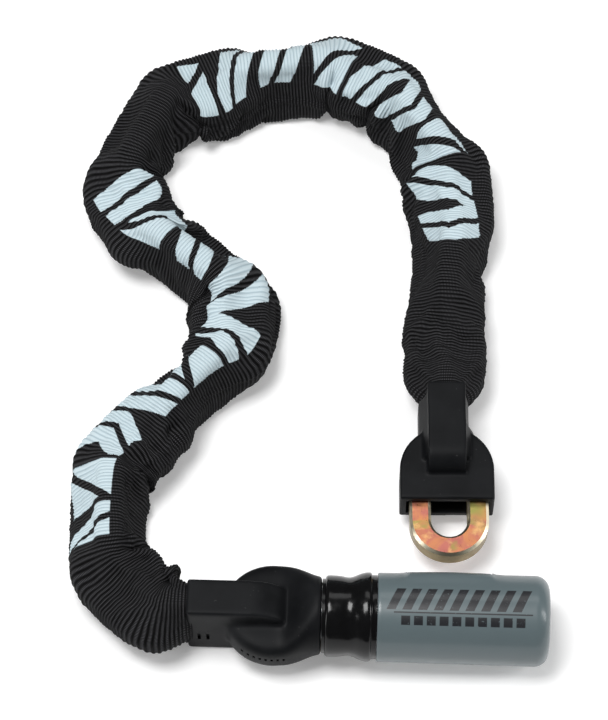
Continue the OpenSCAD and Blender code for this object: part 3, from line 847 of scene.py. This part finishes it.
def add_cover(material):
    """The grey cover: the CAD profile with a low crest round the slot."""
    left, right, rounding = COVER_START_MM, 41.0, 6.0
    left_r, right_r = 18.3, 18.7
    inner, mouth, plate_x = 17.05, 12.35, 38.35

    def radius(x):
        return left_r + (right_r - left_r) * (x - left) / (right - rounding - left)

    outline = [(left, inner), (left, left_r - 0.5), (left + 0.15, left_r - 0.15),
               (left + 0.5, left_r)]
    outline += [(x, radius(x)) for x in np.arange(left + 1.5, right - rounding, 1.0)]
    centre_x, centre_r = right - rounding, right_r - rounding
    outline += [(centre_x + rounding * math.sin(a), centre_r + rounding * math.cos(a))
                for a in np.radians(np.arange(0, 91, 6))]
    outline += [(right - 0.1, mouth + 0.1), (right - 0.3, mouth), (plate_x, mouth),
                (plate_x, inner)]
    slot_angle = math.radians(25.5)

    def lip(x, angle):
        """A low crest round the slot, highest at the slot's middle and along its edges."""
        arc = COVER_R_MM * ((angle - slot_angle + np.pi) % (2 * np.pi) - np.pi)
        crest = 0.7 * max(1 - (x / 23.0) ** 2, 0)
        crest += (0.74 + 0.04 * crest) * (1 - soft_step(abs(x), 16.9, 18.6))
        return crest * (1 - soft_step(np.abs(arc), 6.2, 12.5))

    skin = lathe("cover_skin", outline, material, lip)
    half_slot, slot_low, slot_high, past_skin = mm(17.6), mm(3.2), mm(12.8), mm(30)
    low = (SLOT_X - half_slot, AXIS_Y, AXIS_Z + slot_low)
    high = (SLOT_X + half_slot, AXIS_Y + past_skin, AXIS_Z + slot_high)
    cut_with(skin, block(low, high))
    shade_by_angle(skin)
    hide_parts("barrel_cover")
    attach(skin, "root")


def shade_by_angle(piece, degrees=38):
    """Shades the piece smooth, with a hard edge wherever it turns by more than this."""
    mesh = piece.data
    mesh.polygons.foreach_set("use_smooth", [True] * len(mesh.polygons))
    bm = bmesh.new()
    bm.from_mesh(mesh)
    for edge in bm.edges:
        edge.smooth = len(edge.link_faces) == 2 and edge.calc_face_angle(0) < math.radians(degrees)
    bm.to_mesh(mesh)
    bm.free()


def add_collar(material):
    """The black vinyl collar, pulled in at the waist in soft facets."""
    profile = [(-52.3, 15.2), (-52.3, 15.35), (-51.1, 15.35), (-50.9, 16.2), (-50.2, 16.7),
               (-49, 16.8), (-44.2, 16.7), (-42.2, 16.5), (-41, 16.5), (-39, 16.9), (-36.5, 17.8),
               (-34.5, 18.3), (-32.8, 18.35), (-32.2, 18.0), (-31.9, 17.4), (-31.6, 17.3),
               (-29.75, 17.3), (-29.75, 14.2), (-46.9, 14.2), (-47, 15.2)]
    outline = []
    for (x0, r0), (x1, r1) in zip(profile, profile[1:]):
        count = max(1, int(abs(x1 - x0) / 0.7))
        outline += [(x0 + (x1 - x0) * k / count, r0 + (r1 - r0) * k / count) for k in range(count)]
    outline.append(profile[-1])

    def facets(x, angle):
        """Four flats round the waist and one small dent on the front."""
        waist = math.exp(-((x + 41.5) / 3.2) ** 2) * (x < -33)
        off_dent = (angle - 4.1 + np.pi) % (2 * np.pi) - np.pi
        dent = math.exp(-((x + 37.5) / 2.0) ** 2) * np.exp(-(off_dent / 0.16) ** 2)
        return 0.22 * waist * (np.cos(4 * angle + 0.9) - 1) - 0.5 * dent

    collar = lathe("collar_skin", outline, material, facets, 120)
    shade_by_angle(collar, 50)
    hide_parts("collar")
    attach(collar, "root")


def slab(outline, low, high, place):
    """A closed solid: an outline carried from low to high along the third axis, then placed."""
    count = len(outline)
    verts = [place @ Vector((x, y, z)) for z in (low, high) for x, y in outline]
    faces = [tuple(reversed(range(count))), tuple(range(count, 2 * count))]
    faces += [(i, (i + 1) % count, count + (i + 1) % count, count + i) for i in range(count)]
    return [tuple(p) for p in verts], faces


def arc_points(x, y, r, start, end, count):
    """Points round a centre, from one angle to another in degrees."""
    angles = np.radians(np.linspace(start, end, count))
    return [(x + r * math.cos(a), y + r * math.sin(a)) for a in angles]


def merged(name, parts, material, voxel_mm, smooth_steps):
    """Closed solids grown into one soft moulding."""
    verts, faces = [], []
    for part_verts, part_faces in parts:
        offset = len(verts)
        verts += part_verts
        faces += [tuple(i + offset for i in f) for f in part_faces]
    piece = new_object(name, verts, faces, material)
    remesh = piece.modifiers.new("remesh", "REMESH")
    remesh.mode = "VOXEL"
    remesh.voxel_size = mm(voxel_mm)
    smooth = piece.modifiers.new("smooth", "SMOOTH")
    smooth.factor = 0.5
    smooth.iterations = smooth_steps
    apply_modifiers(piece)
    piece.data.polygons.foreach_set("use_smooth", [True] * len(piece.data.polygons))
    return piece


SIDE_UP = Matrix.Rotation(math.radians(90), 4, "X")  # an outline's y becomes height
ALONG_X = Matrix(((0, 0, 1, 0), (1, 0, 0, 0), (0, 1, 0, 0), (0, 0, 0, 1)))  # an outline in Y and Z

NECK_R_MM = 17.5  # half the height of both boots' necks
NECK_HALF_W_MM = 8.0
BOOT_HALF_MM = 8.75  # half the thickness of both boots' flat parts
DISC_R_MM = 20.6  # the lock boot's flat part
HOOD_R_MM = 19.8  # the end boot's flat part
LOCK_EYE_MM = -72.4  # the anchor link's far arc centre, from the slot's middle
BOOT_END_MM = 19.9  # from that arc centre to the collar
END_LINK_MM = 48.5  # from the last joint to the end link's arc centre


def neck_part(place, near_x, far_x, corner_mm):
    """A boot's neck, rounded over its own link. The sleeve's end, at far_x, is square."""
    corner_y = mm(NECK_R_MM - corner_mm)
    outline = arc_points(mm(near_x), -corner_y, mm(corner_mm), -90, 0, 14)
    outline += arc_points(mm(near_x), corner_y, mm(corner_mm), 0, 90, 14)
    outline += [(mm(far_x), mm(NECK_R_MM)), (mm(far_x), -mm(NECK_R_MM))]
    return slab(outline, -mm(NECK_HALF_W_MM), mm(NECK_HALF_W_MM), place @ SIDE_UP)


def lock_boot_section(x):
    """The lock boot at x, in mm: half width, half height, squareness and lift. The flat part goes
    over to a round end at the collar."""
    flat_end = 3.0
    if x < flat_end:
        half_y = math.sqrt(max(DISC_R_MM ** 2 - x ** 2, 0.01))
    else:
        t = soft_step(x, flat_end, BOOT_END_MM)
        half_y = DISC_R_MM * 0.99 * (1 - t) + 16.2 * t
    t = soft_step(x, 2.0, 19.0)
    half_z = BOOT_HALF_MM * (1 - t) + 16.0 * t
    power = 5.0 * (1 - t) + 2.0 * t
    return half_y, half_z, power, 1.2 * t


def lock_boot_body(place):
    """The lock boot's flat part and round end as one closed solid."""
    around = 64
    angle = np.linspace(0, 2 * np.pi, around, endpoint=False)
    side, high = np.cos(angle), np.sin(angle)
    rings = []
    for x in np.linspace(-DISC_R_MM, BOOT_END_MM, 60):
        half_y, half_z, power, lift = lock_boot_section(x)
        ring_y = half_y * np.sign(side) * np.abs(side) ** (2 / power)
        ring_z = half_z * np.sign(high) * np.abs(high) ** (2 / power) + lift
        rings.append(np.stack([np.full(around, mm(x)), mm(1) * ring_y, mm(1) * ring_z], 1))
    count = len(rings)
    verts = [tuple(place @ Vector(p)) for p in np.vstack(rings)]
    faces = grid_faces(count, around, True)
    faces += [tuple(reversed(range(around))), tuple(range((count - 1) * around, count * around))]
    return verts, faces


def cut_windows(boot, eye_x):
    """Cuts two small windows near the sleeve."""
    south = AXIS_Y - mm(NECK_HALF_W_MM)
    low_z, high_z = 9.6, 15.2
    half_w = 0.65
    for x in (-26.7, -30.3):
        cut_with(boot, block((eye_x + mm(x - half_w), south - mm(2), mm(low_z)),
                             (eye_x + mm(x + half_w), south + mm(1.2), mm(high_z))))


def cut_vents(boot, eye_x):
    """Cuts a row of vent dots along the flat part's lower edge."""
    half_w = 0.5
    for i in range(8):
        x = -12.2 + 2.45 * i
        y = AXIS_Y - mm(math.sqrt(DISC_R_MM ** 2 - x * x))
        cut_with(boot, block((eye_x + mm(x - half_w), y - mm(2), CHAIN_Z + mm(0.4)),
                             (eye_x + mm(x + half_w), y + mm(0.9), CHAIN_Z + mm(2.2))))


def add_lock_boot(material):
    """The boot between chain and barrel: upright neck, flat middle, round end at the collar."""
    eye_x = SLOT_X + mm(LOCK_EYE_MM)
    place = Matrix.Translation((eye_x, AXIS_Y, CHAIN_Z))
    parts = [neck_part(place, -8.0, -35.4, 15.0), lock_boot_body(place)]
    boot = merged("lock_boot_skin", parts, material, 0.7, 20)
    cut_windows(boot, eye_x)
    cut_vents(boot, eye_x)
    shade_by_angle(boot, 45)
    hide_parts("lock_boot")
    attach(boot, "root")


def end_boot_place():
    """The end link's arc centre inside the boot, with local X towards the mouth."""
    pivot = Vector(CHAIN[-1]["pos_m"])
    low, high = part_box("end_link")
    towards = Vector(((low.x + high.x) / 2, low.y, pivot.z)) - pivot
    heading = math.atan2(towards.y, towards.x)
    turned = Matrix.Translation(pivot) @ Matrix.Rotation(heading, 4, "Z")
    return turned @ Matrix.Translation((mm(END_LINK_MM), 0, 0))


def hood_outline(radius_mm, mouth_mm, count):
    """A half round with straight sides out to the mouth."""
    outline = arc_points(0, 0, mm(radius_mm), 90, 270, count)
    return outline + [(mm(mouth_mm), -mm(radius_mm)), (mm(mouth_mm), mm(radius_mm))]


def across_slab(outline_mm, low_mm, high_mm, place):
    """A closed solid from an outline in Y and Z, between two places along X."""
    outline = [(mm(y), mm(z)) for y, z in outline_mm]
    return slab(outline, mm(low_mm), mm(high_mm), place @ ALONG_X)


def add_end_boot(material):
    """The boot on the end link: upright neck, flat hood, and a dark mouth round the link's legs."""
    place = end_boot_place()
    mouth = 14.0
    hood = hood_outline(HOOD_R_MM, mouth, 48)
    # The neck spreads out below: evenly by the hood, and more to one side by the sleeve
    skirt = [(-11.6, -8), (-11.6, 5), (-7.6, 15), (7.6, 15), (11.6, 5), (11.6, -8)]
    shoulder = [(-11.6, -8), (-11.6, 5), (-7.4, 15.5), (7.6, 15.5), (9.6, 5), (9.6, -8)]
    parts = [neck_part(place, -6.3, -36.6, 9.0),
             slab(hood, -mm(BOOT_HALF_MM), mm(BOOT_HALF_MM), place),
             across_slab(skirt, -19, -4, place),
             across_slab(shoulder, -33, -10, place)]
    boot = merged("end_boot_skin", parts, material, 0.6, 8)
    pocket = hood_outline(17.2, mouth + 3, 40)
    cut_with(boot, cutter(*slab(pocket, -mm(5.6), mm(5.6), place)))
    shade_by_angle(boot, 45)
    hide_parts("end_boot")
    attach(boot, CHAIN_BODIES[-1])


# ---- put it together ----

def set_material(node, material):
    """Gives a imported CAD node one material."""
    data = frame["nodes"][node].data
    data.materials.clear()
    data.materials.append(material)


def finish_cad_nodes():
    """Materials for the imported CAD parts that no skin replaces."""
    chain = metal_material("chain_steel", (0.30, 0.28, 0.24, 1), (0.46, 0.43, 0.36, 1), 0.32, 0.5)
    steel = metal_material("barrel_steel", (0.38, 0.39, 0.41, 1), (0.55, 0.56, 0.58, 1), 0.25, 0.42)
    ground = metal_material("pin_steel", (0.55, 0.55, 0.57, 1), (0.72, 0.72, 0.74, 1), 0.16, 0.3)
    brass = metal_material("brass", (0.60, 0.42, 0.16, 1), (0.80, 0.60, 0.28, 1), 0.22, 0.38)
    by_slot = {"chain_steel": chain, "barrel_steel": steel, "pin_steel": ground, "brass": brass,
               "end_link_zinc": zinc_material(), "dust_plastic": dust_material()}
    for row in frame["record"]["subparts"]:
        if row["material_slot"] in by_slot:
            set_material(row["node"], by_slot[row["material_slot"]])


def add_floor():
    """A broad floor, which is part of the stage and not of the lock."""
    half = 3.0
    corners = [(-half, -half, 0), (half, -half, 0), (half, half, 0), (-half, half, 0)]
    floor = new_object("floor", corners, [(0, 1, 2, 3)], floor_material(), smooth=False)


def add_area(name, place, aim, size, power):
    """A rectangular area light at a place, aimed at another."""
    data = bpy.data.lights.new(name, "AREA")
    data.shape = "RECTANGLE"
    data.size = size[0]
    data.size_y = size[1]
    data.energy = power
    light = bpy.data.objects.new(name, data)
    bpy.context.collection.objects.link(light)
    light.location = place
    light.rotation_euler = (Vector(aim) - Vector(place)).to_track_quat("-Z", "Y").to_euler()


def add_lights():
    """A soft key from above, a back light and a strip from each side, in a dim even world."""
    world = bpy.data.worlds.new("world")
    world.use_nodes = True
    world.node_tree.nodes["Background"].inputs[0].default_value = (1, 1, 1, 1)
    world.node_tree.nodes["Background"].inputs[1].default_value = 0.10
    bpy.context.scene.world = world
    add_area("key", (-0.35, -0.08, 1.5), (0, 0, 0), (0.6, 0.6), 18.5)
    add_area("back_soft", (0.1, 0.7, 1.2), (0, 0, 0), (1.0, 0.4), 2.6)
    add_area("side_strip", (1.1, -0.1, 0.6), (0.05, -0.1, 0), (0.25, 0.9), 6)
    add_area("left_strip", (-1.1, -0.45, 0.42), (0, -0.05, 0), (0.25, 0.9), 4)
    bpy.context.scene.view_settings.view_transform = "Standard"


add_floor()
add_lights()
finish_cad_nodes()
add_sleeve(sleeve_material())
add_cover(cover_material())
add_collar(collar_material())
rubber = boot_material()
add_lock_boot(rubber)
add_end_boot(rubber)
